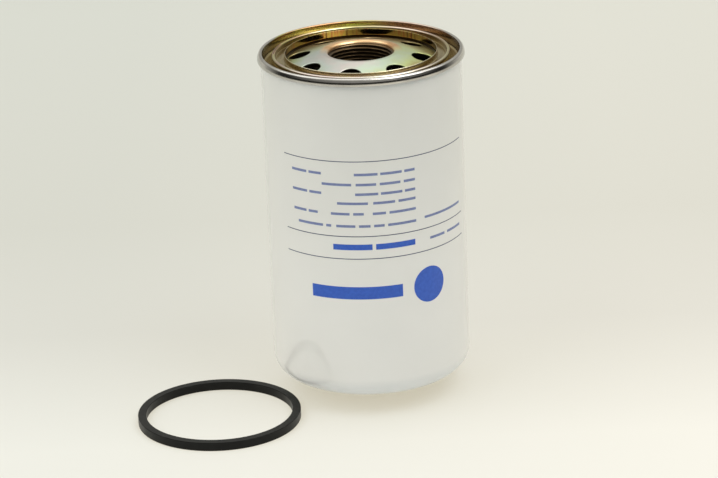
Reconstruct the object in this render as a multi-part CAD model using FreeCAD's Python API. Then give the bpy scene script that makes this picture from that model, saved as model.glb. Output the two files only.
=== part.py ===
# Spin-on hydraulic filter, standing on its wrench boss, with its gasket taken off and laid beside it.
# Lengths are in millimetres. The origin is the middle of the boss, on the surface that it stands on,
# and +Z runs up the axis and out of the threaded mouth.
import FreeCAD, Part
import math
import os
from FreeCAD import Vector

# Can, drawn from sheet steel
can_radius = 64.5
overall_height = 229.1
can_wall = 0.6
corner_radius = 14.0

# Wrench boss: a steel hexagon welded to the can's closed end
boss_width = 36.0
boss_height = 12.0
boss_chamfer = 1.2
boss_chamfer_angle = 30.0

# Rolled double seam: three layers of lid sheet folded around two layers of can wall
lid_sheet = 0.65
seam_height = 5.0
seam_bevel = 0.8
fold_gap = 0.03
hook_end_gap = 0.25
crown_gap = 0.5
compound_height = 0.4
compound_side_gap = 0.5

# Seaming lid, inwards from the seam: countersink, ridge, gasket groove and lip
countersink_width = 6.02
countersink_depth = 8.1
countersink_bevel = 1.6
ridge_width = 2.4
ridge_drop = 1.4
ridge_bevel = 0.7
groove_width = 5.75
groove_depth = 5.0
lip_drop = 1.1

# Gasket, stretched over the lip when it is fitted
gasket_side_gap = 0.2
gasket_proud = 0.75
gasket_stretch = 1.75
gasket_bevel = 0.4
gasket_x = -100.0
gasket_y = -55.1

# Thread plate: pressed dome with a neck drawn inwards and tapped G 1-1/4
plate_thickness = 3.0
plate_edge_gap = 0.15
seat_step = 1.1
toe_inset = 0.5
dome_rise = 5.9
crest_width = 3.55
crest_drop = 0.64
crest_bend = 5.0
mouth_bend = 2.0
thread_major_radius = 20.955
neck_length = 22.6

# Inlet holes in the dome, square to its slope
inlet_count = 8
inlet_radius = 7.2
inlet_inset = 7.9
inlet_first_angle = -100.3

# Grommet that seals the element on the neck
grommet_play = 0.05
grommet_below_cap = 3.0
grommet_above_cap = 3.5
grommet_lip_width = 2.3
grommet_flange_width = 5.0
grommet_web = 1.25
grommet_neck_cover = 1.5

# Filter element
element_side_gap = 8.8
cap_sheet = 0.5
cap_rim = 7.0
potting_thickness = 3.0
potting_play = 0.05
dimple_radius = 10.0
dimple_depth = 2.0

# Centre tube, punched with slots
tube_wall = 0.6
tube_side_gap = 0.7
slot_width = 4.0
slot_length = 13.0
slot_columns = 6
slot_pitch = 21.0
slot_margin = 8.0

# Pleats: a mesh on either side of the medium, folded together
pleat_count = 44
pleat_outer_gap = 0.6
pleat_inner_gap = 0.4
outer_fold_width = 2.6
inner_fold_width = 0.5
mesh_sheet = 0.3
medium_sheet = 0.6
layer_gap = 0.02

# Leaf spring under the element
spring_sheet = 1.2
spring_height = 11.2
spring_arms = 4
spring_arm_width = 14.0
spring_hub_radius = 22.0
spring_hole_radius = 12.0
spring_pad_length = 7.0
spring_bend = 8.0
seat_gap = 0.1

# Levels and radii that follow from the sizes above
land_level = boss_height + can_wall
hook_inner_radius = can_radius + fold_gap + lid_sheet + fold_gap
hook_outer_radius = hook_inner_radius + can_wall
seam_outer_radius = hook_outer_radius + fold_gap + lid_sheet
chuck_radius = can_radius - can_wall - fold_gap - lid_sheet
fold_top = overall_height - lid_sheet - crown_gap
fold_underside = fold_top - can_wall
hook_end = overall_height - seam_height + lid_sheet + hook_end_gap
cover_hook_end = fold_underside - hook_end_gap
ridge_outer_radius = chuck_radius - countersink_width
ridge_inner_radius = ridge_outer_radius - ridge_width
lip_outer_radius = ridge_inner_radius - groove_width
groove_floor = overall_height - groove_depth
flange_level = groove_floor - lid_sheet
dome_base = flange_level - seat_step
plate_radius = ridge_outer_radius - lid_sheet - plate_edge_gap
lip_inner_radius = lip_outer_radius - lid_sheet
toe_radius = lip_inner_radius - toe_inset
crest_radius = thread_major_radius + crest_width
crest_level = dome_base + dome_rise
mouth_level = crest_level - crest_drop
slope = math.atan2(dome_rise, toe_radius - crest_radius)
inlet_circle_radius = toe_radius - inlet_inset
inlet_level = dome_base + (toe_radius - inlet_circle_radius) * math.tan(slope)
neck_outer_radius = thread_major_radius + plate_thickness
neck_end = overall_height - neck_length
grommet_bore = neck_outer_radius + grommet_play
upper_cap_level = neck_end + grommet_neck_cover + grommet_below_cap
cap_hole_radius = grommet_bore + grommet_web
cap_radius = can_radius - can_wall - element_side_gap
tube_radius = grommet_bore + grommet_lip_width + tube_side_gap + tube_wall
element_base = land_level + seat_gap + spring_height + seat_gap
lower_cap_level = element_base + cap_sheet
pleat_bottom = lower_cap_level + potting_thickness
pleat_top = upper_cap_level - potting_thickness
rim_inner_radius = cap_radius - cap_sheet
pleat_radius = rim_inner_radius - pleat_outer_gap
pack_thickness = 2 * mesh_sheet + medium_sheet + 2 * layer_gap
valley_radius = tube_radius + pleat_inner_gap + pack_thickness

AXIS = Vector(0, 0, 1)
CENTRE = Vector(0, 0, 0)
PARTS = "parts"


def save(shape, node):
    """Writes one sub-part to its own file."""
    shape.exportStep(os.path.join(PARTS, node + ".step"))


def bent_line(corners):
    """A line through (r, z, bend) corners in the XZ plane, each inner corner rounded by its bend radius."""
    points = [Vector(r, 0, z) for r, z, bend in corners]
    edges = []
    here = points[0]
    for before, corner, after, (r, z, bend) in zip(points, points[1:], points[2:], corners[1:]):
        back = (before - corner).normalize()
        ahead = (after - corner).normalize()
        half = back.getAngle(ahead) / 2
        leave = corner + back * (bend / math.tan(half))
        if here.distanceToPoint(leave) > 1e-6:
            edges.append(Part.makeLine(here, leave))
        here = leave
        if bend:
            inwards = (back + ahead).normalize()
            middle = corner + inwards * (bend / math.sin(half) - bend)
            here = corner + ahead * (bend / math.tan(half))
            edges.append(Part.Arc(leave, middle, here).toShape())
    edges.append(Part.makeLine(here, points[-1]))
    return Part.Wire(edges)


def sheet_face(corners, thickness):
    """The section of a bent sheet: a bent line thickened to its left, seen with +X right and +Z up."""
    miter = 2
    return bent_line(corners).makeOffset2D(thickness, miter, True, True)


def turned(face):
    """A face in the XZ plane turned once about the axis."""
    return face.revolve(CENTRE, AXIS, 360)


def turned_outline(points):
    """A ring whose section is the closed outline through (r, z) points."""
    corners = [Vector(r, 0, z) for r, z in points]
    return turned(Part.Face(Part.makePolygon(corners + corners[:1])))


def ring(inner_radius, outer_radius, bottom, top):
    """A plain ring of rectangular section."""
    return turned_outline([
        (inner_radius, bottom),
        (outer_radius, bottom),
        (outer_radius, top),
        (inner_radius, top),
    ])


def around(shape, count, first_angle=0.0):
    """Copies of a shape, evenly spaced about the axis."""
    copies = []
    for index in range(count):
        copy = shape.copy()
        copy.rotate(CENTRE, AXIS, first_angle + index * 360 / count)
        copies.append(copy)
    return copies


def wrench_boss():
    """The hexagonal boss on the closed end, chamfered round its free face."""
    corner_distance = boss_width / math.sqrt(3)
    tip = Vector(corner_distance, 0, 0)
    chamfer_inner = boss_width / 2 - boss_chamfer
    chamfer_rise = (corner_distance - chamfer_inner) * math.tan(math.radians(boss_chamfer_angle))
    corners = [FreeCAD.Rotation(AXIS, 60 * index).multVec(tip) for index in range(6)]
    hexagon = Part.Face(Part.makePolygon(corners + corners[:1])).extrude(AXIS * boss_height)
    chamfered = turned_outline([
        (0, 0),
        (chamfer_inner, 0),
        (corner_distance, chamfer_rise),
        (corner_distance, boss_height),
        (0, boss_height),
    ])
    return hexagon.common(chamfered)


def canister():
    """The can: closed end, wall, and the hook that the lid is folded around."""
    section = sheet_face([
        (0, boss_height, 0),
        (can_radius, boss_height, corner_radius),
        (can_radius, fold_underside, 0),
        (hook_inner_radius, fold_underside, 0),
        (hook_inner_radius, hook_end, 0),
    ], can_wall)
    return turned(section)


def seaming_lid():
    """The lid: cover hook, seam, countersink, ridge, gasket groove and lip, bent from one sheet."""
    cover_hook_radius = can_radius + fold_gap
    countersink_floor = overall_height - countersink_depth
    ridge_top = overall_height - ridge_drop
    section = sheet_face([
        (cover_hook_radius, cover_hook_end, 0),
        (cover_hook_radius, overall_height - seam_height, 0),
        (seam_outer_radius, overall_height - seam_height, 0),
        (seam_outer_radius, overall_height - seam_bevel, 0),
        (seam_outer_radius - seam_bevel, overall_height, 0),
        (chuck_radius + seam_bevel, overall_height, 0),
        (chuck_radius, overall_height - seam_bevel, 0),
        (chuck_radius, countersink_floor + countersink_bevel, 0),
        (chuck_radius - countersink_bevel, countersink_floor, 0),
        (ridge_outer_radius + countersink_bevel, countersink_floor, 0),
        (ridge_outer_radius, countersink_floor + countersink_bevel, 0),
        (ridge_outer_radius, ridge_top - ridge_bevel, 0),
        (ridge_outer_radius - ridge_bevel, ridge_top, 0),
        (ridge_inner_radius + ridge_bevel, ridge_top, 0),
        (ridge_inner_radius, ridge_top - ridge_bevel, 0),
        (ridge_inner_radius, groove_floor, 0),
        (lip_outer_radius, groove_floor, 0),
        (lip_outer_radius, overall_height - lip_drop, 0),
    ], lid_sheet)
    return turned(section)


def seam_compound():
    """The bead of sealing compound between the can's fold and the crown of the lid."""
    inner = can_radius - can_wall + compound_side_gap
    outer = hook_outer_radius - compound_side_gap
    return ring(inner, outer, fold_top, fold_top + compound_height)


def mounting_gasket():
    """The square-cut gasket, relaxed, lying on the surface beside the can."""
    inner = lip_outer_radius - gasket_stretch
    width = ridge_inner_radius - lip_outer_radius - 2 * gasket_side_gap
    height = groove_depth + gasket_proud
    outer = inner + width
    gasket = turned_outline([
        (inner + gasket_bevel, 0),
        (outer - gasket_bevel, 0),
        (outer, gasket_bevel),
        (outer, height - gasket_bevel),
        (outer - gasket_bevel, height),
        (inner + gasket_bevel, height),
        (inner, height - gasket_bevel),
        (inner, gasket_bevel),
    ])
    gasket.translate(Vector(gasket_x, gasket_y, 0))
    return gasket


def inlet_cutter():
    """The punch of one inlet hole, square to the dome's slope."""
    outwards = Vector(math.sin(slope), 0, math.cos(slope))
    rim = Vector(inlet_circle_radius, 0, inlet_level)
    reach = outwards * 2 * plate_thickness
    return Part.makeCylinder(inlet_radius, 4 * plate_thickness, rim - reach, outwards)


def thread_plate():
    """The plate: flange under the gasket groove, dome with inlet holes, and neck with the tapped bore."""
    section = sheet_face([
        (plate_radius, flange_level, 0),
        (lip_inner_radius, flange_level, 0),
        (lip_inner_radius, dome_base, 0),
        (toe_radius, dome_base, 0),
        (crest_radius, crest_level, crest_bend),
        (thread_major_radius, mouth_level, mouth_bend),
        (thread_major_radius, neck_end, 0),
    ], plate_thickness)
    return turned(section).cut(around(inlet_cutter(), inlet_count, inlet_first_angle))


def element_grommet():
    """The rubber grommet, gripped by the upper end cap and pressed on the neck."""
    cap_top = upper_cap_level + cap_sheet
    lip_radius = grommet_bore + grommet_lip_width
    flange_radius = grommet_bore + grommet_flange_width
    half_lip = grommet_lip_width / 2
    half_below = grommet_below_cap / 2
    half_above = grommet_above_cap / 2
    return turned_outline([
        (grommet_bore, upper_cap_level - grommet_below_cap),
        (grommet_bore + half_lip, upper_cap_level - grommet_below_cap),
        (lip_radius, upper_cap_level - half_below),
        (lip_radius, upper_cap_level),
        (cap_hole_radius, upper_cap_level),
        (cap_hole_radius, cap_top),
        (flange_radius, cap_top),
        (flange_radius, cap_top + half_above),
        (grommet_bore + half_lip, cap_top + grommet_above_cap),
        (grommet_bore, cap_top + grommet_above_cap),
    ])


def upper_end_cap():
    """The upper end cap: a flat ring with its rim turned down over the pleats."""
    section = sheet_face([
        (cap_hole_radius, upper_cap_level + cap_sheet, 0),
        (cap_radius, upper_cap_level + cap_sheet, 0),
        (cap_radius, upper_cap_level + cap_sheet - cap_rim, 0),
    ], -cap_sheet)
    return turned(section)


def lower_end_cap():
    """The lower end cap: a closed disc with a dimple that centres the spring, and its rim turned up."""
    section = sheet_face([
        (0, element_base - dimple_depth, 0),
        (dimple_radius, element_base - dimple_depth, 0),
        (dimple_radius, element_base, 0),
        (cap_radius, element_base, 0),
        (cap_radius, element_base + cap_rim, 0),
    ], cap_sheet)
    return turned(section)


def potting(bottom):
    """The bed of adhesive that holds the pleats' ends in an end cap."""
    inner = tube_radius + potting_play
    outer = rim_inner_radius - potting_play
    return ring(inner, outer, bottom, bottom + potting_thickness)


def centre_tube():
    """The steel tube that backs the pleats, with rows of punched slots."""
    tube = ring(tube_radius - tube_wall, tube_radius, lower_cap_level, upper_cap_level)
    room = pleat_top - pleat_bottom - 2 * slot_margin - slot_length
    rows = 1 + int(room / slot_pitch)
    first = pleat_bottom + slot_margin + (room - (rows - 1) * slot_pitch) / 2
    slots = []
    for row in range(rows):
        corner = Vector(0, -slot_width / 2, first + row * slot_pitch)
        slots += around(Part.makeBox(2 * tube_radius, slot_width, slot_length, corner), slot_columns)
    return tube.cut(slots)


def pleat_corners():
    """The folds of the pleat pack's outer surface, as (radius, angle) round the axis, four to a pleat."""
    step = 2 * math.pi / pleat_count
    outer_half = outer_fold_width / 2 / pleat_radius
    inner_half = inner_fold_width / 2 / valley_radius
    corners = []
    for index in range(pleat_count):
        ridge = index * step
        valley = ridge + step / 2
        corners += [(pleat_radius, ridge - outer_half), (pleat_radius, ridge + outer_half)]
        corners += [(valley_radius, valley - inner_half), (valley_radius, valley + inner_half)]
    return corners


def pleat_outline(depth):
    """The pleats' closed outline at a depth below the pack's outer surface."""
    points = [Vector(r * math.cos(a), r * math.sin(a), pleat_bottom) for r, a in pleat_corners()]
    moved = []
    for before, corner, after in zip(points[-1:] + points, points, points[1:] + points[:1]):
        arriving = (corner - before).normalize()
        leaving = (after - corner).normalize()
        inwards = AXIS.cross(arriving) + AXIS.cross(leaving)
        moved.append(corner + inwards * (depth / (1 + arriving.dot(leaving))))
    return Part.makePolygon(moved + moved[:1])


def pleated_layer(depth, thickness):
    """One folded layer of the pleat pack."""
    outside = Part.Face(pleat_outline(depth))
    inside = Part.Face(pleat_outline(depth + thickness))
    return outside.cut(inside).extrude(AXIS * (pleat_top - pleat_bottom))


def leaf_spring():
    """The star-shaped spring: a flat hub under the element, and arms that stand on the can's land."""
    top = element_base - seat_gap
    pad_top = land_level + seat_gap + spring_sheet
    reach = can_radius - corner_radius
    arm_face = sheet_face([
        (spring_hub_radius - spring_sheet, top, 0),
        (spring_hub_radius, top, spring_bend / 2),
        (reach - spring_pad_length, pad_top, spring_bend / 2),
        (reach, pad_top, 0),
    ], -spring_sheet)
    arm = arm_face.extrude(Vector(0, spring_arm_width, 0))
    arm.translate(Vector(0, -spring_arm_width / 2, 0))
    hub = ring(spring_hole_radius, spring_hub_radius, top - spring_sheet, top)
    return hub.fuse(around(arm, spring_arms, 180 / spring_arms)).removeSplitter()


def main():
    os.makedirs("parts", exist_ok=True)
    save(wrench_boss(), "wrench_boss")
    save(canister(), "canister")
    save(seaming_lid(), "seaming_lid")
    save(seam_compound(), "seam_compound")
    save(thread_plate(), "thread_plate")
    save(mounting_gasket(), "mounting_gasket")
    save(element_grommet(), "element_grommet")
    save(upper_end_cap(), "upper_end_cap")
    save(lower_end_cap(), "lower_end_cap")
    save(potting(pleat_top), "upper_potting")
    save(potting(lower_cap_level), "lower_potting")
    save(centre_tube(), "centre_tube")
    save(pleated_layer(0, mesh_sheet), "outer_mesh")
    save(pleated_layer(mesh_sheet + layer_gap, medium_sheet), "filter_medium")
    save(pleated_layer(mesh_sheet + medium_sheet + 2 * layer_gap, mesh_sheet), "inner_mesh")
    save(leaf_spring(), "leaf_spring")


main()
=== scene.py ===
# Looks of a spin-on hydraulic filter and its loose gasket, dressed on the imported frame.
# Sizes are written in millimetres and turned into metres where a mesh, material, lamp or camera is made.
# The origin is the middle of the wrench boss, +Z runs up the axis, and the camera looks along +Y.
import math

import bpy
from mathutils import Matrix, Vector


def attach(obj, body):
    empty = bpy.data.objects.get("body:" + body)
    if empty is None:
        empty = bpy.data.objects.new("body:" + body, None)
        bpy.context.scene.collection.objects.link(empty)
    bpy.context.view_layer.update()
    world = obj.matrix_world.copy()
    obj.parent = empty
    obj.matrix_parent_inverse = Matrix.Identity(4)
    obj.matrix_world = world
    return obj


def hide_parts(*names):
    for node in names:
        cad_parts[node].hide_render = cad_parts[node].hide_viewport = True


MM = 0.001

# Camera, fitted to the picture: pixels, millimetres and radians
picture_width = 718
focal_pixels = 3318.3
camera_back = 2032.4
camera_height = 844.3
camera_yaw = -0.00283
camera_pitch = 0.35117
camera_roll = -0.03874
sensor_width = 36

# Can
can_radius = 64.5
overall_height = 229.1
can_wall = 0.6
corner_radius = 14.0
boss_height = 12.0
hook_bend = 0.35

# Rolled seam and lid
lid_sheet = 0.65
seam_height = 5.0
seam_shoulder_drop = 2.9
seam_shoulder_angle = 24.0
seam_shoulder_bend = 5.3
seam_crown_bend = 1.8
seam_chuck_bend = 0.8
seam_lower_bend = 0.95
hook_curl_bend = 0.8
fold_gap = 0.03
hook_end_gap = 0.25
crown_gap = 0.5
countersink_width = 6.02
countersink_depth = 8.1
countersink_bend = 2.2
ridge_width = 2.4
ridge_drop = 1.4
ridge_bend = 1.19
groove_width = 5.75
groove_depth = 5.0
groove_bend = 0.4
lip_drop = 1.1

# Thread plate
plate_thickness = 3.0
plate_edge_gap = 0.15
seat_step = 1.1
toe_inset = 0.5
toe_bend = 2.0
dome_rise = 5.9
crest_width = 3.55
crest_drop = 0.64
crest_bend = 5.0
mouth_bend = 2.0
neck_root_bend = 1.2
thread_major_radius = 20.955
thread_pitch = 2.309
thread_depth = 1.479
thread_flank_gain = 1.3
thread_root_share = 0.15
thread_run_out = 0.9
thread_inset = 1.8
neck_length = 22.6
inlet_count = 8
inlet_radius = 7.2
inlet_inset = 7.9
inlet_first_angle = -100.3
inlet_rim = 0.4
inlet_margin = 0.3
crest_margin = 1.8

# Gasket
gasket_side_gap = 0.2
gasket_proud = 0.75
gasket_stretch = 1.75
gasket_edge = 0.45
gasket_x = -100.0
gasket_y = -55.1

# Print on the can: rules, word bars, a broad bar and a disc
ink_height = 0.03
rule_width = 0.55
rule_levels = (174.6, 124.7, 109.6)
print_left = -52.0
print_right = 69.7

# Levels and radii that follow
fold_top = overall_height - lid_sheet - crown_gap
fold_underside = fold_top - can_wall
hook_inner_radius = can_radius + 2 * fold_gap + lid_sheet
seam_outer_radius = hook_inner_radius + can_wall + fold_gap + lid_sheet
chuck_radius = can_radius - can_wall - fold_gap - lid_sheet
ridge_outer_radius = chuck_radius - countersink_width
ridge_inner_radius = ridge_outer_radius - ridge_width
lip_outer_radius = ridge_inner_radius - groove_width
groove_floor = overall_height - groove_depth
lip_inner_radius = lip_outer_radius - lid_sheet
flange_level = groove_floor - lid_sheet
dome_base = flange_level - seat_step
plate_radius = ridge_outer_radius - lid_sheet - plate_edge_gap
toe_radius = lip_inner_radius - toe_inset
crest_radius = thread_major_radius + crest_width
crest_level = dome_base + dome_rise
mouth_level = crest_level - crest_drop
slope = math.atan2(dome_rise, toe_radius - crest_radius)
inlet_circle_radius = toe_radius - inlet_inset
neck_outer_radius = thread_major_radius + plate_thickness
neck_end = overall_height - neck_length
thread_top = mouth_level - thread_inset
patch_inner_radius = crest_radius + crest_margin
patch_outer_radius = toe_radius - inlet_margin

# Where the lid's colours meet: each pair is the start and end of a blend, by radius, height, x or y
lip_radii = (49.2, 49.8)
ridge_levels = (227.1, 227.6)
# The front and side pairs place painted reflections: pale in front, dark at the sides
lid_front_reflection = (-36, 4)
lid_right = (-4, 26)
lid_back = (-10, 30)
lid_side_reflection = (26, 58)

# Where the seaming rolls left the lid silver: its outer side, and the crown, by radius and level added up
seam_side_radii = (65.3, 65.6)
crown_reach = (288.9, 289.4)
crown_back = (15, 40)
crown_set_back = 4.8

# Where the thread plate's colours meet, in the same way
plate_span = (-46, 46)
# Where the painted reflection on the back of the dome sets in, by y
back_reflection_span = (4, 26)
# Where the painted highlight behind the mouth lies, by y and by radius
highlight_back = (-6, 8)
highlight_radii = (24.6, 27.0)
neck_radii = (23.4, 23.8)
# Where painted shade starts past the seat's edge, by radius
shaded_rim_radii = (48.1, 48.3)
ridge_tip_radii = (19.4, 21.0)
bore_wall_radii = (21.2, 21.6)
bore_top_blend = 0.3
hole_shade_depths = (1.0, 0.4)

# The floor: half its width, where its tones meet, and the share of its brightness that no shadow takes away
floor_reach = 6000
# The floor's tones meet as painted light, brighter in front, and as painted shade on the left
floor_back = (-100, 900)
floor_shade_left = (-200, 200)
floor_glow = 0.66

# How finely the pieces are divided: PRINT_STEP is in degrees, BEND_STEP in radians
TURN_STEPS = 288
SECTOR_STEPS = 24
SIDE_STEPS = 14
SPREAD_STEPS = 5
SPREAD_POWER = 1.5
RIM_STEPS = 4
END_STEPS = 8
THREAD_STEPS = 120
DISC_STEPS = 64
DISC_RINGS = 4
BEND_STEP = math.radians(11)
PRINT_STEP = 1.5


def polar(radius, angle, z):
    """A point given by its radius and angle about the axis."""
    return Vector((radius * math.cos(angle), radius * math.sin(angle), z))


def turned_by(vector, angle):
    """A vector turned about Z."""
    return Matrix.Rotation(angle, 3, "Z") @ vector


class Skin:
    """A mesh gathered face by face: equal corners are joined, and each corner keeps its own normal."""

    def __init__(self):
        self.places = {}
        self.faces = []
        self.normals = []

    def corner(self, point):
        """The number of the vertex at a point."""
        key = (round(point.x, 4), round(point.y, 4), round(point.z, 4))
        return self.places.setdefault(key, len(self.places))

    def face(self, corners):
        """Adds a face through (point, normal) corners, turned to the side of its normals."""
        ring = []
        for point, normal in corners:
            number = self.corner(point)
            if not ring or (number != ring[-1][0] and number != ring[0][0]):
                ring.append((number, point, normal))
        if len(ring) < 3:
            return
        facing = Vector((0, 0, 0))
        for (_, here, _), (_, ahead, _) in zip(ring, ring[1:] + ring[:1]):
            facing += here.cross(ahead)
        outwards = sum((normal for _, _, normal in ring), Vector((0, 0, 0)))
        if facing.dot(outwards) < 0:
            ring.reverse()
        self.faces.append([number for number, _, _ in ring])
        self.normals += [normal.normalized() for _, _, normal in ring]

    def grid(self, rows, closed=True):
        """Adds the faces between neighbouring rows of (point, normal) corners."""
        for low, high in zip(rows, rows[1:]):
            count = len(low)
            for index in range(count if closed else count - 1):
                after = (index + 1) % count
                self.face([low[index], low[after], high[after], high[index]])

    def turn(self, strip, angles):
        """Adds a strip of (r, z, normal r, normal z) points turned about the axis."""
        self.grid([
            [(polar(r, angle, z), polar(nr, angle, nz)) for angle in angles]
            for r, z, nr, nz in strip
        ])

    def piece(self, name, material, centre=(0, 0)):
        """Makes the object, lets it ride on the frame, and returns it."""
        mesh = bpy.data.meshes.new(name)
        shift = Vector((centre[0], centre[1], 0))
        points = [(Vector(place) + shift) * MM for place in self.places]
        mesh.from_pydata(points, [], self.faces)
        mesh.polygons.foreach_set("use_smooth", [True] * len(mesh.polygons))
        mesh.normals_split_custom_set(self.normals)
        mesh.materials.append(material)
        mesh.update()
        thing = bpy.data.objects.new(name, mesh)
        bpy.context.scene.collection.objects.link(thing)
        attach(thing, "root")
        return thing


def bent_line(corners):
    """Points (r, z, normal r, normal z) along a line of (r, z, bend) corners. The normal is on its left."""
    spots = [Vector((r, z)) for r, z, _ in corners]
    ways = [(after - before).normalized() for before, after in zip(spots, spots[1:])]
    line = [(*spots[0], -ways[0].y, ways[0].x)]
    for corner, way_in, way_out, (_, _, bend) in zip(spots[1:], ways, ways[1:], corners[1:]):
        turn = math.atan2(way_in.cross(way_out), way_in.dot(way_out))
        side = math.copysign(1, turn)
        start = corner - way_in * bend * math.tan(abs(turn) / 2)
        middle = start + Vector((-way_in.y, way_in.x)) * side * bend
        steps = max(1, round(abs(turn) / BEND_STEP))
        heading = math.atan2(way_in.y, way_in.x)
        for step in range(steps + 1):
            angle = heading + turn * step / steps
            left = Vector((-math.sin(angle), math.cos(angle)))
            spot = middle - left * side * bend
            line.append((*spot, *left))
    line.append((*spots[-1], -ways[-1].y, ways[-1].x))
    return line


def offset(line, distance):
    """The line moved to its left."""
    return [(r + nr * distance, z + nz * distance, nr, nz) for r, z, nr, nz in line]


def flipped(line):
    """The line with its normals on the other side."""
    return [(r, z, -nr, -nz) for r, z, nr, nz in line]


def round_end(line, thickness):
    """The half-round cut edge at the far end of a sheet that lies to the left of its line."""
    r, z, nr, nz = line[-1]
    ahead = (nz, -nr)
    half = thickness / 2
    edge = []
    for step in range(END_STEPS + 1):
        angle = math.pi * step / END_STEPS
        across = -math.cos(angle)
        along = math.sin(angle)
        out_r = nr * across + ahead[0] * along
        out_z = nz * across + ahead[1] * along
        edge.append((r + nr * half + out_r * half, z + nz * half + out_z * half, out_r, out_z))
    return edge


def sheet(line, thickness):
    """The strips that close round a bent sheet: its two faces and its two cut edges."""
    backwards = flipped(offset(line, thickness))[::-1]
    far_edge = round_end(line, thickness)
    near_edge = round_end(backwards, thickness)
    return [flipped(line), offset(line, thickness), far_edge, near_edge]


def turns(count, first=0.0):
    """Evenly spaced angles round the axis."""
    return [first + 2 * math.pi * index / count for index in range(count)]


def canister(material):
    """The can, with the bends of its lower corner and hook."""
    line = bent_line([
        (0, boss_height, 0),
        (can_radius, boss_height, corner_radius),
        (can_radius, fold_underside, hook_bend),
        (hook_inner_radius, fold_underside, hook_bend),
        (hook_inner_radius, overall_height - seam_height + lid_sheet + hook_end_gap + can_wall / 2, 0),
    ])
    skin = Skin()
    angles = turns(TURN_STEPS)
    skin.turn(flipped(line), angles)
    skin.turn(offset(line, can_wall), angles)
    skin.turn(round_end(line, can_wall), angles)
    thing = skin.piece("canister_shell", material)
    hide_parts("canister")


def seaming_lid(material):
    """The lid: rolled seam, countersink, ridge, gasket groove and lip, with the sheet's real bends."""
    half = lid_sheet / 2
    curl_radius = can_radius + fold_gap
    ridge_top = overall_height - ridge_drop
    countersink_floor = overall_height - countersink_depth
    lean = math.tan(math.radians(seam_shoulder_angle))
    shoulder_radius = seam_outer_radius - seam_shoulder_drop * lean
    line = bent_line([
        (curl_radius, fold_underside - hook_end_gap - half, 0),
        (curl_radius, overall_height - seam_height, hook_curl_bend),
        (seam_outer_radius, overall_height - seam_height, seam_lower_bend),
        (seam_outer_radius, overall_height - seam_shoulder_drop, seam_shoulder_bend),
        (shoulder_radius, overall_height, seam_crown_bend),
        (chuck_radius, overall_height, seam_chuck_bend),
        (chuck_radius, countersink_floor, countersink_bend),
        (ridge_outer_radius, countersink_floor, countersink_bend),
        (ridge_outer_radius, ridge_top, ridge_bend),
        (ridge_inner_radius, ridge_top, ridge_bend),
        (ridge_inner_radius, groove_floor, groove_bend),
        (lip_outer_radius, groove_floor, groove_bend),
        (lip_outer_radius, overall_height - lip_drop - half, 0),
    ])
    skin = Skin()
    for strip in sheet(line, lid_sheet):
        skin.turn(strip, turns(TURN_STEPS))
    thing = skin.piece("rolled_lid", material)
    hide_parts("seaming_lid")


def dome_level(radius):
    """Height of the dome's slope."""
    return dome_base + (toe_radius - radius) * math.tan(slope)


def on_dome(x, y, depth, azimuth):
    """A point below the dome's slope and the slope's normal, where x runs out along the sector's middle."""
    radius = math.hypot(x, y)
    angle = azimuth + math.atan2(y, x)
    point = polar(radius - depth * math.sin(slope), angle, dome_level(radius) - depth * math.cos(slope))
    return point, polar(math.sin(slope), angle, math.cos(slope))


def sector_border():
    """The border of one sector of the dome, as (x, y) in the sector's own axes, counterclockwise."""
    half = math.pi / inlet_count
    width = patch_outer_radius - patch_inner_radius
    border = []
    for step in range(SECTOR_STEPS):
        border.append((patch_outer_radius, -half + 2 * half * step / SECTOR_STEPS))
    for step in range(SIDE_STEPS):
        border.append((patch_outer_radius - width * step / SIDE_STEPS, half))
    for step in range(SECTOR_STEPS):
        border.append((patch_inner_radius, half - 2 * half * step / SECTOR_STEPS))
    for step in range(SIDE_STEPS):
        border.append((patch_inner_radius + width * step / SIDE_STEPS, -half))
    return [(radius * math.cos(angle), radius * math.sin(angle)) for radius, angle in border]


def around_hole(ways, radius, depth):
    """Points (x, y, depth) round the middle of a hole, one in each given direction on the slope."""
    ring = []
    for way in ways:
        x = inlet_circle_radius + radius * math.sin(way) * math.cos(slope)
        y = radius * math.cos(way)
        ring.append((x, y, depth))
    return ring


def spread(ring, border):
    """Rows of points that widen from a ring round the hole to the border of its sector."""
    rows = []
    for step in range(SPREAD_STEPS + 1):
        share = (step / SPREAD_STEPS) ** SPREAD_POWER
        rows.append([
            (hx + (bx - hx) * share, hy + (by - hy) * share, depth)
            for (hx, hy, depth), (bx, by) in zip(ring, border)
        ])
    return rows


def placed(row, azimuth):
    """The (point, normal) corners that belong to a row of (x, y, depth) points."""
    return [on_dome(x, y, depth, azimuth) for x, y, depth in row]


def hole_inwards(way, azimuth):
    """The direction from a hole's wall to its middle."""
    out = Vector((math.sin(way) * math.cos(slope), math.cos(way), -math.sin(way) * math.sin(slope)))
    return turned_by(-out, azimuth)


def hole_rim(ways, azimuth):
    """Rows over the rolled upper rim of a hole, from its wall out to the dome's surface."""
    rows = []
    for step in range(RIM_STEPS + 1):
        angle = math.pi / 2 * step / RIM_STEPS
        out = inlet_rim * (1 - math.cos(angle))
        down = inlet_rim * (1 - math.sin(angle))
        ring = placed(around_hole(ways, inlet_radius + out, down), azimuth)
        row = []
        for (point, normal), way in zip(ring, ways):
            inwards = hole_inwards(way, azimuth)
            row.append((point, inwards * math.cos(angle) + normal * math.sin(angle)))
        rows.append(row)
    return rows


def hole_wall(ways, azimuth):
    """Rows down the wall of a hole, from its rim to the plate's underside."""
    rows = []
    for depth in (inlet_rim, plate_thickness):
        ring = placed(around_hole(ways, inlet_radius, depth), azimuth)
        rows.append([(point, hole_inwards(way, azimuth)) for (point, _), way in zip(ring, ways)])
    return rows


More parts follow.
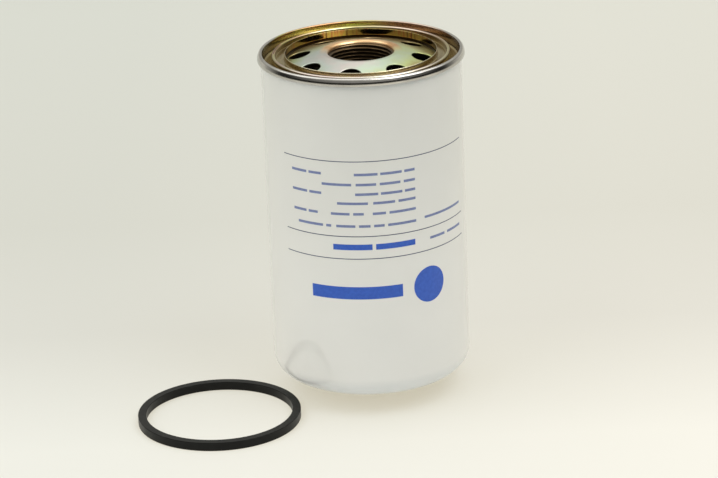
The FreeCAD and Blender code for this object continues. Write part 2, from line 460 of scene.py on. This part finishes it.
def dome_sector(skin, azimuth):
    """One sector of the dome, with its punched hole and the hole's rolled upper rim."""
    border = sector_border()
    ways = [math.atan2((x - inlet_circle_radius) / math.cos(slope), y) for x, y in border]
    top = spread(around_hole(ways, inlet_radius + inlet_rim, 0), border)
    underside = spread(around_hole(ways, inlet_radius, plate_thickness), border)
    skin.grid(hole_rim(ways, azimuth))
    skin.grid([placed(row, azimuth) for row in top])
    skin.grid([[(point, -normal) for point, normal in placed(row, azimuth)] for row in underside])
    skin.grid(hole_wall(ways, azimuth))


def thread_height(z, angle):
    """How far the thread stands in from the bore's wall: narrow-crested ridges that fade out at both ends."""
    turn = (z - thread_pitch * angle / (2 * math.pi)) / thread_pitch
    ridge = 1 - abs(2 * (turn % 1) - 1)
    form = min(1, max(0, thread_flank_gain * ridge - thread_root_share))
    ends = min(thread_top - z, z - neck_end) / thread_run_out
    fade = min(1, max(0, ends))
    return thread_depth * form * fade


def thread_rows(angles):
    """The bore's wall with the thread's ridges, from the mouth down to the neck's end."""
    nudge = 0.02
    rows = []
    for step in range(THREAD_STEPS + 1):
        z = thread_top + (neck_end - thread_top) * step / THREAD_STEPS
        row = []
        for angle in angles:
            height = thread_height(z, angle)
            rise = (thread_height(z + nudge, angle) - thread_height(z - nudge, angle)) / (2 * nudge)
            row.append((polar(thread_major_radius - height, angle, z), polar(-1, angle, -rise)))
        rows.append(row)
    return rows


def below_dome_point(radius):
    """The corner (r, z, bend) on the dome's underside, square below a radius of its slope."""
    r = radius - plate_thickness * math.sin(slope)
    return r, dome_level(radius) - plate_thickness * math.cos(slope), 0


def flange_lines():
    """The flange's upper and lower line, from its rim over the stepped seat to the dome's toe."""
    floor = flange_level - plate_thickness
    toe_floor = dome_base - plate_thickness
    upper = bent_line([
        (plate_radius, flange_level, 0),
        (lip_inner_radius, flange_level, 0),
        (lip_inner_radius, dome_base, 0),
        (toe_radius, dome_base, toe_bend),
        (patch_outer_radius, dome_level(patch_outer_radius), 0),
    ])
    lower = bent_line([
        (plate_radius, floor, 0),
        (lip_inner_radius + plate_thickness, floor, 0),
        (lip_inner_radius + plate_thickness, toe_floor, 0),
        (toe_radius - plate_thickness * math.tan(slope / 2), toe_floor, 0),
        below_dome_point(patch_outer_radius),
    ])
    return upper, lower


def neck_lines():
    """The neck's two lines: over the crest and into the bore, and down its outer wall."""
    mouth = bent_line([
        (patch_inner_radius, dome_level(patch_inner_radius), 0),
        (crest_radius, crest_level, crest_bend),
        (thread_major_radius, mouth_level, mouth_bend),
        (thread_major_radius, thread_top, 0),
    ])
    root_level = dome_level(neck_outer_radius) - plate_thickness / math.cos(slope)
    outer_wall = bent_line([
        below_dome_point(patch_inner_radius),
        (neck_outer_radius, root_level, neck_root_bend),
        (neck_outer_radius, neck_end, 0),
    ])
    return mouth, outer_wall


def thread_plate(material):
    """The plate: flange, dome with inlet holes, rounded mouth and threaded neck."""
    sector = 2 * math.pi / inlet_count
    first = math.radians(inlet_first_angle)
    angles = turns(inlet_count * SECTOR_STEPS, first - sector / 2)
    flange_top, flange_underside = flange_lines()
    mouth, outer_wall = neck_lines()
    skin = Skin()
    skin.turn(flipped(flange_top), angles)
    skin.turn(flange_underside, angles)
    skin.turn(flipped(mouth), angles)
    skin.turn(outer_wall, angles)
    skin.turn([(*flange_top[0][:2], 1, 0), (*flange_underside[0][:2], 1, 0)], angles)
    skin.turn([(thread_major_radius, neck_end, 0, -1), (*outer_wall[-1][:2], 0, -1)], angles)
    skin.grid(thread_rows(angles))
    for index in range(inlet_count):
        dome_sector(skin, first + index * sector)
    thing = skin.piece("domed_thread_plate", material)
    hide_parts("thread_plate")


def mounting_gasket(material):
    """The square-cut rubber ring, with edges only slightly rounded."""
    inner = lip_outer_radius - gasket_stretch
    outer = inner + ridge_inner_radius - lip_outer_radius - 2 * gasket_side_gap
    top = groove_depth + gasket_proud
    middle = (inner + outer) / 2
    line = bent_line([
        (middle, 0, 0),
        (outer, 0, gasket_edge),
        (outer, top, gasket_edge),
        (inner, top, gasket_edge),
        (inner, 0, gasket_edge),
        (middle, 0, 0),
    ])
    skin = Skin()
    skin.turn(flipped(line), turns(TURN_STEPS))
    thing = skin.piece("square_cut_gasket", material, (gasket_x, gasket_y))
    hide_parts("mounting_gasket")


def printed_patch(name, left, right, low, high, material):
    """Ink on the can's wall, between two angles in degrees from its front and two heights."""
    steps = max(2, round((right - left) / PRINT_STEP))
    angles = [math.radians(left + (right - left) * step / steps - 90) for step in range(steps + 1)]
    shell = [can_radius, can_radius + ink_height]
    skin = Skin()
    for radius, side in zip(shell, (-1, 1)):
        skin.grid([[(polar(radius, a, z), polar(side, a, 0)) for a in angles] for z in (low, high)], False)
    for z, side in ((low, -1), (high, 1)):
        up = Vector((0, 0, side))
        skin.grid([[(polar(radius, a, z), up) for a in angles] for radius in shell], False)
    for angle, side in ((angles[0], -1), (angles[-1], 1)):
        across = polar(side, angle + math.pi / 2, 0)
        skin.grid([[(polar(radius, angle, z), across) for z in (low, high)] for radius in shell], False)
    skin.piece(name, material)


def printed_disc(name, centre_angle, centre_z, radius, material):
    """A round field of ink on the can's wall."""
    centre = math.radians(centre_angle - 90)
    ways = turns(DISC_STEPS)
    skin = Skin()
    rims = []
    for shell, side in ((can_radius, -1), (can_radius + ink_height, 1)):
        rows = []
        for ring in range(DISC_RINGS + 1):
            share = ring / DISC_RINGS
            row = []
            for way in ways:
                angle = centre + radius * share * math.cos(way) / can_radius
                z = centre_z + radius * share * math.sin(way)
                row.append((polar(shell, angle, z), polar(side, angle, 0)))
            rows.append(row)
        skin.grid(rows)
        rims.append(rows[-1])
    edge = []
    for rim in rims:
        row = []
        for way, (point, _) in zip(ways, rim):
            row.append((point, polar(math.cos(way), centre + math.pi / 2, math.sin(way))))
        edge.append(row)
    skin.grid(edge)
    skin.piece(name, material)


def add(tree, kind, inputs=None, **settings):
    """A shader node with its settings and inputs. An input given as a socket is linked."""
    made = tree.nodes.new(kind)
    for key, value in settings.items():
        setattr(made, key, value)
    for key, value in (inputs or {}).items():
        if isinstance(value, bpy.types.NodeSocket):
            tree.links.new(value, made.inputs[key])
        else:
            made.inputs[key].default_value = value
    return made


def srgb(colour):
    """A colour written as 0 to 255 screen values, as the shader wants it."""
    def linear(value):
        share = value / 255
        return share / 12.92 if share <= 0.04045 else ((share + 0.055) / 1.055) ** 2.4
    return (*map(linear, colour), 1.0)


def start_material(name, **sockets):
    """A new material, its node tree, its shader and the piece's own coordinates."""
    material = bpy.data.materials.new(name)
    material.use_nodes = True
    tree = material.node_tree
    shader = tree.nodes["Principled BSDF"]
    for key, value in sockets.items():
        shader.inputs[key.replace("_", " ")].default_value = value
    place = add(tree, "ShaderNodeTexCoord").outputs["Object"]
    return material, tree, shader, place


def maths(tree, operation, *values):
    """The result of an operation on sockets or numbers."""
    made = add(tree, "ShaderNodeMath", dict(enumerate(values)), operation=operation)
    return made.outputs["Value"]


def parted(tree, vector):
    """The X, Y and Z of a vector."""
    return add(tree, "ShaderNodeSeparateXYZ", {"Vector": vector}).outputs


def noise(tree, place, scale, detail=3.0):
    """The strength of a noise pattern, 0 to 1. Scale is in waves a metre."""
    made = add(tree, "ShaderNodeTexNoise", {"Vector": place, "Scale": scale, "Detail": detail})
    return made.outputs["Fac"]


def mixed(tree, share, stops):
    """A colour that runs through (position, screen colour) stops as share goes from 0 to 1."""
    ramp = add(tree, "ShaderNodeValToRGB", {"Fac": share})
    elements = ramp.color_ramp.elements
    while len(elements) < len(stops):
        elements.new(0.5)
    for element, (position, colour) in zip(elements, stops):
        element.position = position
        element.color = srgb(colour)
    return ramp.outputs["Color"]


def blended(tree, share, first, second, way="MIX"):
    """The first colour where share is 0. Where it is 1, the second, or both multiplied."""
    colours = {"Factor": share, 6: first, 7: second}
    made = add(tree, "ShaderNodeMix", colours, data_type="RGBA", blend_type=way)
    return made.outputs[2]


def ranged(tree, share, low, high, from_low=0.0, from_high=1.0):
    """A value between low and high."""
    made = add(tree, "ShaderNodeMapRange", {
        "Value": share, "From Min": from_low, "From Max": from_high, "To Min": low, "To Max": high,
    })
    return made.outputs["Result"]


def between(tree, value, limits, low=0.0, high=1.0):
    """Low up to the first limit in millimetres, high from the second on, and a blend between them."""
    start, end = limits
    return ranged(tree, value, low, high, start * MM, end * MM)


def bumped(tree, shader, height, depth):
    """Raises the surface by a pattern, depth in millimetres."""
    made = add(tree, "ShaderNodeBump", {"Height": height, "Distance": depth * MM, "Strength": 1.0})
    tree.links.new(made.outputs["Normal"], shader.inputs["Normal"])


def surfaced(tree, shader, tone, grain, roughness, height, depth):
    """Gives the shader its colour, a roughness between two values by a grain, and a raised pattern."""
    tree.links.new(tone, shader.inputs["Base Color"])
    tree.links.new(ranged(tree, grain, *roughness), shader.inputs["Roughness"])
    bumped(tree, shader, height, depth)


def radius_of(tree, place):
    """Distance from the axis."""
    flat = add(tree, "ShaderNodeVectorMath", {0: place, 1: (1.0, 1.0, 0.0)}, operation="MULTIPLY")
    length = add(tree, "ShaderNodeVectorMath", {0: flat.outputs["Vector"]}, operation="LENGTH")
    return length.outputs["Value"]


def turned_place(tree, place, round_scale, across_scale):
    """Coordinates that are long round the axis and short across it, for marks left by turning or rolling."""
    axes = parted(tree, place)
    angle = maths(tree, "ARCTAN2", axes["Y"], axes["X"])
    radius = radius_of(tree, place)
    joined = add(tree, "ShaderNodeCombineXYZ", {"X": angle, "Y": radius, "Z": axes["Z"]})
    scales = (round_scale, across_scale, across_scale)
    scaled = add(tree, "ShaderNodeVectorMath", {0: joined.outputs["Vector"], 1: scales}, operation="MULTIPLY")
    return scaled.outputs["Vector"]


def can_paint():
    """Glossy cream paint with a faint orange-peel surface, a little darker towards the top: painted shade
    above and painted light from the floor low down.
    """
    material, tree, shader, place = start_material("cream_paint", Coat_Weight=1.0, Coat_Roughness=0.02)
    # Painted light and shade: the paint runs lighter low down, where light from the floor falls, and darker
    # up the can
    height = between(tree, parted(tree, place)["Z"], (0, overall_height), -0.25, 0.75)
    cloud = ranged(tree, noise(tree, place, 14), 0.0, 0.5)
    tone = mixed(tree, maths(tree, "ADD", height, cloud), [(0.0, (240, 234, 220)), (1.0, (218, 214, 201))])
    surfaced(tree, shader, tone, noise(tree, place, 70), (0.28, 0.42), noise(tree, place, 900, 2), 0.004)
    return material


def lid_tones(tree, place):
    """The colours of the lid by name. All but brown and silver run in streaks round it. Pale and dull are
    painted reflections, side a painted dark reflection.
    """
    patches = noise(tree, turned_place(tree, place, 1.6, 260), 1.0, 4)
    upright_marks = noise(tree, turned_place(tree, place, 14, 40), 1.0, 4)
    streaked = {
        "amber": [
            (0.34, (212, 200, 156)),
            (0.43, (238, 238, 190)),
            (0.50, (232, 238, 186)),
            (0.57, (234, 222, 188)),
            (0.66, (200, 184, 150)),
        ],
        "straw": [
            (0.34, (156, 120, 76)),
            (0.43, (204, 190, 118)),
            (0.50, (202, 200, 124)),
            (0.57, (196, 156, 116)),
            (0.66, (146, 110, 74)),
        ],
        # Pale and dull are painted reflections for the front
        "pale": [(0.38, (200, 184, 178)), (0.50, (208, 202, 186)), (0.62, (206, 190, 184))],
        "maroon": [(0.38, (196, 172, 156)), (0.62, (220, 202, 184))],
        # Side is a painted dark reflection for the left and right
        "side": [(0.38, (150, 128, 82)), (0.62, (178, 160, 108))],
        "dull": [(0.38, (216, 204, 172)), (0.62, (236, 230, 200))],
    }
    tones = {name: mixed(tree, patches, stops) for name, stops in streaked.items()}
    tones["brown"] = mixed(tree, upright_marks, [
        (0.34, (100, 80, 50)),
        (0.44, (168, 146, 96)),
        (0.50, (166, 156, 92)),
        (0.56, (174, 132, 90)),
        (0.66, (98, 76, 48)),
    ])
    clouds = noise(tree, place, 60)
    tones["silver"] = mixed(tree, clouds, [(0.35, (182, 179, 174)), (0.65, (202, 199, 193))])
    return tones


def rolled_bright(tree, axes, radius):
    """1 where the seaming rolls ran: round the seam's outer side and over its crown, less at the back."""
    reach = maths(tree, "ADD", radius, axes["Z"])
    set_back = between(tree, axes["Y"], crown_back, 0.0, crown_set_back * MM)
    crown = between(tree, maths(tree, "SUBTRACT", reach, set_back), crown_reach)
    return maths(tree, "MAXIMUM", crown, between(tree, radius, seam_side_radii))


def lid_metal():
    """The lid's plated sheet: silver where the seaming rolls ran, gold to maroon inside, brown on the lip,
    with painted reflections: pale in front, dark at the sides.
    """
    material, tree, shader, place = start_material("plated_lid", Metallic=1.0)
    axes = parted(tree, place)
    radius = radius_of(tree, place)
    tones = lid_tones(tree, place)
    # Painted reflections: pale in front, dark at the left and right sides
    front_reflection = between(tree, axes["Y"], lid_front_reflection, 1.0, 0.0)
    side_dark_reflection = between(tree, maths(tree, "ABSOLUTE", axes["Y"]), lid_side_reflection, 0.9, 0.0)
    right = between(tree, axes["X"], lid_right)
    right_back = maths(tree, "MULTIPLY", right, between(tree, axes["Y"], lid_back))

    def inside(name):
        """A colour of the left and back, with maroon on the right of the back and a pale painted reflection
        in front.
        """
        behind = blended(tree, right_back, tones[name], tones["maroon"])
        return blended(tree, front_reflection, behind, tones["pale"])

    # The channel darkens at the left and right sides as a painted dark reflection
    channel = blended(tree, side_dark_reflection, inside("amber"), tones["side"])
    outer = blended(tree, between(tree, axes["Z"], ridge_levels), channel, inside("straw"))
    # The lip is brown, with a pale painted reflection in front
    lip = blended(tree, front_reflection, tones["brown"], tones["dull"])
    gold = blended(tree, between(tree, radius, lip_radii), lip, outer)
    tone = blended(tree, rolled_bright(tree, axes, radius), gold, tones["silver"])
    marks = turned_place(tree, place, 2.5, 2600)
    surfaced(tree, shader, tone, noise(tree, marks, 1.0, 4), (0.10, 0.24), noise(tree, marks, 1.0, 2), 0.003)
    return material


def pastel_tone(tree, place, across):
    """The pastel bands on the plate, which drift from left to right and wander."""
    drift = between(tree, across, plate_span, -0.28, 0.52)
    wander = ranged(tree, noise(tree, place, 34, 4), 0.0, 0.82)
    return mixed(tree, maths(tree, "ADD", drift, wander), [
        (0.05, (168, 158, 98)),
        (0.20, (176, 190, 146)),
        (0.36, (194, 202, 194)),
        (0.48, (208, 200, 194)),
        (0.60, (202, 216, 196)),
        (0.80, (204, 214, 148)),
        (0.95, (176, 154, 98)),
    ])


def under_dome(tree, radius, level):
    """Where painted shade goes: 1 in the holes and under the dome, 0 on its upper side."""
    lift = maths(tree, "MULTIPLY_ADD", radius, math.tan(slope), level)
    surface = dome_base + toe_radius * math.tan(slope)
    deep, shallow = hole_shade_depths
    return between(tree, lift, (surface - deep, surface - shallow), 1.0, 0.0)


def in_thread(tree, radius, level):
    """1 on the tapped wall of the bore, 0 elsewhere."""
    below_mouth = between(tree, level, (thread_top - bore_top_blend, thread_top + bore_top_blend), 1.0, 0.0)
    return maths(tree, "MULTIPLY", below_mouth, between(tree, radius, bore_wall_radii, 1.0, 0.0))


def plate_metal():
    """Passivated zinc: pastel bands, a painted reflection on the back of the dome, a painted reddish-gold
    highlight behind the mouth, and painted shade in the bore, holes, underside and past the seat's edge.
    """
    material, tree, shader, place = start_material("passivated_zinc", Metallic=0.9)
    axes = parted(tree, place)
    radius = radius_of(tree, place)
    pastel = pastel_tone(tree, place, axes["X"])
    # A painted reflection on the back of the dome, where it is seen at a grazing angle
    back_reflection = mixed(tree, noise(tree, place, 40, 3), [(0.35, (164, 150, 100)), (0.65, (184, 156, 112))])
    # A painted highlight behind the mouth, reddish gold
    mouth_highlight = mixed(tree, noise(tree, place, 70, 3), [(0.35, (206, 160, 112)), (0.65, (238, 202, 154))])
    # Painted shade for the holes, the underside and the plate past the seat's edge
    shade = mixed(tree, noise(tree, place, 60), [(0.35, (42, 29, 16)), (0.65, (50, 35, 20))])
    # The tapped bore: painted shade, darkest towards the thread's roots
    thread = mixed(tree, between(tree, radius, ridge_tip_radii), [
        (0.05, (96, 78, 54)),
        (0.50, (76, 60, 38)),
        (0.90, (62, 48, 30)),
    ])
    # The painted highlight keeps to the crest, and to the back of the mouth
    near_mouth = between(tree, radius, highlight_radii, 1.0, 0.0)
    ring = maths(tree, "MULTIPLY", near_mouth, between(tree, axes["Y"], highlight_back))
    bands = blended(tree, between(tree, axes["Y"], back_reflection_span), pastel, back_reflection)
    topside = blended(tree, ring, bands, mouth_highlight)
    rim = blended(tree, between(tree, radius, shaded_rim_radii), topside, shade)
    outer = blended(tree, under_dome(tree, radius, axes["Z"]), rim, shade)
    inner = blended(tree, between(tree, radius, neck_radii, 1.0, 0.0), outer, topside)
    tone = blended(tree, in_thread(tree, radius, axes["Z"]), inner, thread)
    surfaced(tree, shader, tone, noise(tree, place, 160, 4), (0.24, 0.38), noise(tree, place, 700, 3), 0.01)
    return material


def shaded_inner_steel():
    """Sheet steel for the parts inside the can, painted near-black as the shade inside the closed can."""
    material, tree, shader, place = start_material("shaded_inner_sheet_steel", Metallic=1.0)
    marks = turned_place(tree, place, 3.0, 900)
    tone = mixed(tree, noise(tree, marks, 1.0, 4), [(0.3, (22, 18, 13)), (0.7, (38, 32, 24))])
    surfaced(tree, shader, tone, noise(tree, place, 90), (0.45, 0.6), noise(tree, marks, 1.0, 2), 0.004)
    return material


def rubber(name, dark, light, roughness):
    """Moulded rubber with a dull, slightly dusty surface."""
    material, tree, shader, place = start_material(name, Specular_IOR_Level=0.22)
    tone = mixed(tree, noise(tree, place, 130, 5), [(0.35, dark), (0.75, light)])
    dullness = (roughness, roughness + 0.18)
    surfaced(tree, shader, tone, noise(tree, place, 240), dullness, noise(tree, place, 1500, 3), 0.02)
    return material


def cured_adhesive():
    """Adhesive that set in the end caps."""
    material, tree, shader, place = start_material("cured_adhesive")
    tone = mixed(tree, noise(tree, place, 60, 4), [(0.3, (196, 172, 116)), (0.7, (216, 194, 142))])
    surfaced(tree, shader, tone, noise(tree, place, 120), (0.35, 0.55), noise(tree, place, 400, 3), 0.05)
    return material


def woven(name, dark, light, threads):
    """A sheet crossed by threads, with a given number of them a metre along each axis."""
    material, tree, shader, place = start_material(name)
    axes = parted(tree, place)
    waves = {}
    for axis in ("X", "Y", "Z"):
        phase = maths(tree, "MULTIPLY", axes[axis], threads * 2 * math.pi)
        waves[axis] = maths(tree, "SINE", phase)
    across = maths(tree, "MAXIMUM", waves["X"], waves["Y"])
    height = ranged(tree, maths(tree, "MAXIMUM", waves["Z"], across), 0.0, 1.0, -1.0, 1.0)
    tone = mixed(tree, height, [(0.35, dark), (0.8, light)])
    surfaced(tree, shader, tone, noise(tree, place, 200), (0.45, 0.65), height, 0.1)
    return material


def ink(name, dark, light):
    """Printing ink, a little uneven and slightly glossy."""
    material, tree, shader, place = start_material(name, Coat_Weight=0.3, Coat_Roughness=0.1)
    tone = mixed(tree, noise(tree, place, 500, 4), [(0.3, dark), (0.7, light)])
    surfaced(tree, shader, tone, noise(tree, place, 200), (0.35, 0.5), noise(tree, place, 2500, 2), 0.003)
    return material


def dress_frame(frame, paint):
    """Gives the frame's own nodes their materials: the boss, and all that is closed in the can."""
    steel = shaded_inner_steel()
    adhesive = cured_adhesive()
    mesh = woven("support_mesh", (150, 150, 142), (214, 214, 206), 900)
    dressed = {
        "wrench_boss": paint,
        "seam_compound": rubber("sealing_compound", (150, 80, 56), (172, 98, 70), 0.5),
        "element_grommet": rubber("grommet_rubber", (22, 22, 21), (38, 38, 36), 0.5),
        "upper_end_cap": steel,
        "lower_end_cap": steel,
        "upper_potting": adhesive,
        "lower_potting": adhesive,
        "centre_tube": steel,
        "outer_mesh": mesh,
        "filter_medium": woven("filter_medium", (214, 204, 176), (236, 228, 204), 350),
        "inner_mesh": mesh,
        "leaf_spring": steel,
    }
    for name, material in dressed.items():
        materials = frame["nodes"][name].data.materials
        materials.clear()
        materials.append(material)


def word_rows(material):
    """Rows of word bars. A word is its start and end in degrees, counted leftwards from its row's end."""
    row_right = 28.8
    bar_height = 1.7
    rows = [
        (166.0, [(0, 6.5), (8.0, 20.5), (22.0, 35.3), (54.5, 62.5), (64.0, 74.5)]),
        (159.3, [(0, 7.0), (9.0, 21.0), (23.0, 34.5), (37.0, 54.3)]),
        (152.9, [(0, 6.5), (8.0, 20.5), (22.0, 35.0), (54.8, 62.5), (64.0, 74.5)]),
        (146.8, [(0, 10.5), (12.5, 25.0), (28.0, 45.5)]),
        (139.8, [(0, 16.0), (18.0, 25.5), (30.5, 36.5), (38.5, 49.4), (57.5, 63.5), (65.0, 74.0)]),
        (131.6, [(0, 17.0), (19.0, 25.0), (27.0, 33.5), (35.5, 46.5), (49.5, 52.5), (54.5, 71.0)]),
    ]
    number = 0
    for level, words in rows:
        low = level - bar_height / 2
        high = level + bar_height / 2
        for start, end in words:
            printed_patch(f"word_bar_{number}", row_right - end, row_right - start, low, high, material)
            number += 1


def label():
    """The can's print in generic form: rules, rows of word bars, single bars and a disc."""
    blue = ink("blue_ink", (20, 76, 174), (32, 88, 186))
    slate = ink("slate_ink", (106, 116, 154), (120, 130, 166))
    fine = ink("rule_ink", (50, 54, 82), (60, 64, 92))
    for number, level in enumerate(rule_levels):
        low = level - rule_width / 2
        high = level + rule_width / 2
        printed_patch(f"printed_rule_{number}", print_left, print_right, low, high, fine)
    word_rows(slate)
    printed_patch("side_word_bar_0", 34.5, 66.4, 131.6, 133.2, slate)
    printed_patch("side_word_bar_1", 38.0, 49.5, 116.6, 118.3, slate)
    printed_patch("side_word_bar_2", 52.0, 66.4, 116.6, 118.3, slate)
    printed_patch("bold_bar_0", 4.5, 27.8, 115.6, 119.4, blue)
    printed_patch("bold_bar_1", -20.0, 2.5, 115.6, 119.4, blue)
    printed_patch("broad_bar", -34.2, 19.2, 82.2, 90.6, blue)
    printed_disc("printed_disc", 36.8, 86.5, 12.0, blue)


def floor_paint():
    """The floor's material: brightest in front and darker on the left, as painted light and shade, and partly
    a painted glow where it is seen.
    """
    material, tree, shader, place = start_material("pale_floor", Roughness=0.6)
    axes = parted(tree, place)
    # Painted light and shade: lighter in front, and darker on the left as a painted shadow
    back = between(tree, axes["Y"], floor_back)
    left = between(tree, axes["X"], floor_shade_left, 1.0, 0.0)
    left_shade_tint = (0.92, 0.94, 0.95, 1.0)
    lit = mixed(tree, back, [
        (0.0, (222, 231, 242)),
        (0.2, (214, 221, 228)),
        (0.42, (210, 216, 218)),
        (1.0, (218, 224, 222)),
    ])
    tree.links.new(blended(tree, left, lit, left_shade_tint, "MULTIPLY"), shader.inputs["Base Color"])
    tone = mixed(tree, back, [
        (0.0, (248, 238, 212)),
        (0.2, (226, 217, 194)),
        (0.42, (220, 213, 192)),
        (1.0, (226, 222, 205)),
    ])
    shone = blended(tree, left, tone, left_shade_tint, "MULTIPLY")
    # A painted glow, seen by the camera and in reflections, that lifts the floor's shadows
    glow = add(tree, "ShaderNodeEmission", {"Color": shone, "Strength": 1.0})
    rays = add(tree, "ShaderNodeLightPath").outputs
    seen = maths(tree, "MAXIMUM", rays["Is Camera Ray"], rays["Is Glossy Ray"])
    share = maths(tree, "MULTIPLY", seen, floor_glow)
    joined = add(tree, "ShaderNodeMixShader", {0: share, 1: shader.outputs[0], 2: glow.outputs[0]})
    tree.links.new(joined.outputs[0], tree.nodes["Material Output"].inputs["Surface"])
    return material


def stage_floor():
    """The pale floor that the object stands on."""
    reach = floor_reach * MM
    corners = [(-reach, -reach, 0), (reach, -reach, 0), (reach, reach, 0), (-reach, reach, 0)]
    mesh = bpy.data.meshes.new("floor")
    mesh.from_pydata(corners, [], [(0, 1, 2, 3)])
    mesh.materials.append(floor_paint())
    floor = bpy.data.objects.new("floor", mesh)
    bpy.context.scene.collection.objects.link(floor)


def lamp(name, place, target, size, watts):
    """A soft rectangular white lamp, aimed at a point."""
    light = bpy.data.lights.new(name, "AREA")
    light.shape = "RECTANGLE"
    light.size = size[0] * MM
    light.size_y = size[1] * MM
    light.energy = watts
    thing = bpy.data.objects.new(name, light)
    thing.location = Vector(place) * MM
    aim = Vector(target) * MM - thing.location
    thing.rotation_euler = aim.to_track_quat("-Z", "Y").to_euler()
    bpy.context.scene.collection.objects.link(thing)
    return thing


def hang_lamps():
    """A lamp overhead, one high in front on the right, and one on the left that shows in no reflection."""
    lamp("overhead_lamp", place=(0, 450, 1700), target=(0, 0, 150), size=(3200, 1200), watts=15)
    lamp("right_lamp", place=(950, -600, 1750), target=(0, 0, 100), size=(1300, 1300), watts=17)
    left = lamp("left_lamp", place=(-1350, -700, 1400), target=(0, 0, 100), size=(1800, 1800), watts=19)
    left.visible_glossy = False


def room_light():
    """The room: pale behind the object, and dim low down in front, where the camera stands."""
    world = bpy.data.worlds.new("room")
    bpy.context.scene.world = world
    world.use_nodes = True
    tree = world.node_tree
    tree.nodes.clear()
    way = parted(tree, add(tree, "ShaderNodeTexCoord").outputs["Generated"])
    front = mixed(tree, way["Z"], [
        (0.0, (34, 34, 33)),
        (0.30, (40, 40, 39)),
        (0.52, (165, 164, 160)),
        (0.75, (212, 211, 207)),
        (1.0, (222, 221, 217)),
    ])
    back = mixed(tree, way["Z"], [
        (0.0, (220, 218, 208)),
        (0.28, (170, 169, 162)),
        (0.6, (222, 221, 214)),
        (0.85, (222, 221, 214)),
        (1.0, (190, 189, 186)),
    ])
    room = blended(tree, ranged(tree, way["Y"], 0.0, 1.0, 0.2, 0.7), front, back)
    rays = add(tree, "ShaderNodeLightPath").outputs
    colour = blended(tree, rays["Is Camera Ray"], room, srgb((224, 224, 213)))
    background = add(tree, "ShaderNodeBackground", {"Color": colour, "Strength": 1.0})
    output = add(tree, "ShaderNodeOutputWorld")
    tree.links.new(background.outputs["Background"], output.inputs["Surface"])


def aim_camera():
    """The camera at the picture's place and angle."""
    flat = math.cos(camera_pitch)
    forward = Vector((math.sin(camera_yaw) * flat, math.cos(camera_yaw) * flat, -math.sin(camera_pitch)))
    level = Vector((math.cos(camera_yaw), -math.sin(camera_yaw), 0))
    upright = level.cross(forward)
    right = level * math.cos(camera_roll) + upright * math.sin(camera_roll)
    up = upright * math.cos(camera_roll) - level * math.sin(camera_roll)
    data = bpy.data.cameras.new("camera")
    data.sensor_fit = "HORIZONTAL"
    data.sensor_width = sensor_width
    data.lens = focal_pixels / picture_width * sensor_width
    camera = bpy.data.objects.new("camera", data)
    turn = Matrix((right, up, -forward)).transposed().to_4x4()
    camera.matrix_world = Matrix.Translation(Vector((0, -camera_back, camera_height)) * MM) @ turn
    bpy.context.scene.collection.objects.link(camera)
    bpy.context.scene.camera = camera


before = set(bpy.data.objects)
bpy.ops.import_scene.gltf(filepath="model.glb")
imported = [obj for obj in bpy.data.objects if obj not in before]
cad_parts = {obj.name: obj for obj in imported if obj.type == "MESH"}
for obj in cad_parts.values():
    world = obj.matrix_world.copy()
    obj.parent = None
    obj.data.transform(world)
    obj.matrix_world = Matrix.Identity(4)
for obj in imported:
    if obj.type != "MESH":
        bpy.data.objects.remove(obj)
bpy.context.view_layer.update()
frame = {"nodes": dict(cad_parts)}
aim_camera()
paint = can_paint()
canister(paint)
seaming_lid(lid_metal())
thread_plate(plate_metal())
mounting_gasket(rubber("gasket_rubber", (9, 9, 7), (18, 18, 14), 0.3))
label()
dress_frame(frame, paint)
stage_floor()
hang_lamps()
room_light()
bpy.context.scene.view_settings.view_transform = "Standard"
